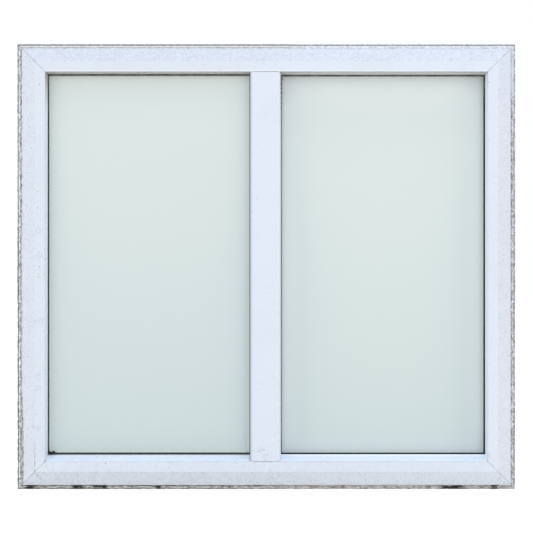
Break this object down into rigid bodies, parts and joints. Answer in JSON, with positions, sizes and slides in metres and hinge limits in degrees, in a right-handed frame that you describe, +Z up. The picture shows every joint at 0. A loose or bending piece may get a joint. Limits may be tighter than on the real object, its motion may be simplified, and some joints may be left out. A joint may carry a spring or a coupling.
{
  "type": "sliding window",
  "caption": "White plastic window frame with a fixed frosted light, a centre mullion and a frosted sash that slides behind it on rollers, with a sloped sill and a crescent latch.",
  "frame": {"origin": "middle of the sill's flat underside, half way through the frame's depth", "axes": "+X along the width to the right as seen from outside, +Y from outside to the room, +Z up"},
  "size_m": [1.124, 0.0993, 1.005],
  "materials": {
    "white_pvc": "moulded white PVC with a satin gloss, dust and scuffs",
    "frosted_glass": "pale green-grey frosted glass",
    "black_rubber": "matt black weather rubber",
    "mill_aluminium": "mill-finish extrusion",
    "zinc_steel": "zinc plated",
    "cream_nylon": "moulded nylon",
    "grey_pile": "woven pile brush",
    "mortar": "rough mortar and paint residue"
  },
  "bodies": {
    "frame": {"frame_head": "white_pvc", "frame_sill": "white_pvc", "frame_jamb_left": "white_pvc", "frame_jamb_right": "white_pvc", "frame_steels": "zinc_steel", "mullion": "white_pvc", "mullion_steel": "zinc_steel", "mullion_connectors": "cream_nylon", "sill_slope": "white_pvc", "mortar_residue": "mortar", "fixed_pane": "frosted_glass", "fixed_gasket_front": "black_rubber", "fixed_gasket_rear": "black_rubber", "glazing_platform": "white_pvc", "glazing_packers": "cream_nylon", "bead_head": "white_pvc", "bead_sill": "white_pvc", "bead_jamb": "white_pvc", "bead_mullion": "white_pvc", "infill_head": "white_pvc", "infill_sill": "white_pvc", "infill_jamb": "white_pvc", "jamb_pile_seal": "grey_pile", "sill_track": "mill_aluminium", "head_guide": "mill_aluminium", "sill_upstand": "white_pvc", "mullion_interlock": "white_pvc", "buffers": "black_rubber", "latch_keeper": "white_pvc", "keeper_screws": "zinc_steel"},
    "sash": {"sash_rail_top": "white_pvc", "sash_rail_bottom": "white_pvc", "sash_stile_lock": "white_pvc", "sash_stile_meeting": "white_pvc", "sash_pane": "frosted_glass", "sash_gasket_front": "black_rubber", "sash_gasket_rear": "black_rubber", "sash_packers": "cream_nylon", "sash_bead_top": "white_pvc", "sash_bead_bottom": "white_pvc", "sash_bead_lock": "white_pvc", "sash_bead_meeting": "white_pvc", "sash_interlock": "white_pvc", "sash_pile_front": "grey_pile", "sash_pile_rear": "grey_pile", "roller_housing_left": "cream_nylon", "roller_housing_right": "cream_nylon", "roller_axles": "zinc_steel", "top_guides": "cream_nylon", "latch_base": "white_pvc", "latch_pivot": "zinc_steel", "finger_pull": "white_pvc", "sash_screws": "zinc_steel"},
    "roller_left": {"roller_wheel_left": "cream_nylon"},
    "roller_right": {"roller_wheel_right": "cream_nylon"},
    "latch": {"latch_lever": "white_pvc"}
  },
  "joints": [
    {"name": "sash_slide", "type": "slide", "parent": "frame", "child": "sash", "axis": [-1, 0, 0], "range_m": [0, 0.508]},
    {"name": "roller_left_spin", "type": "hinge", "parent": "sash", "child": "roller_left", "pos_m": [0.0906, 0.024, 0.0501], "axis": [0, -1, 0], "continuous": true},
    {"name": "roller_right_spin", "type": "hinge", "parent": "sash", "child": "roller_right", "pos_m": [0.442, 0.024, 0.0501], "axis": [0, -1, 0], "continuous": true},
    {"name": "latch_turn", "type": "hinge", "parent": "sash", "child": "latch", "pos_m": [0.52, 0.049, 0.50825], "axis": [0, -1, 0], "range_deg": [0, 180]}
  ],
  "couplings": [
    {"joint": "roller_left_spin", "follows": "sash_slide", "rad_per_m": 153.85},
    {"joint": "roller_right_spin", "follows": "sash_slide", "rad_per_m": 153.85}
  ]
}
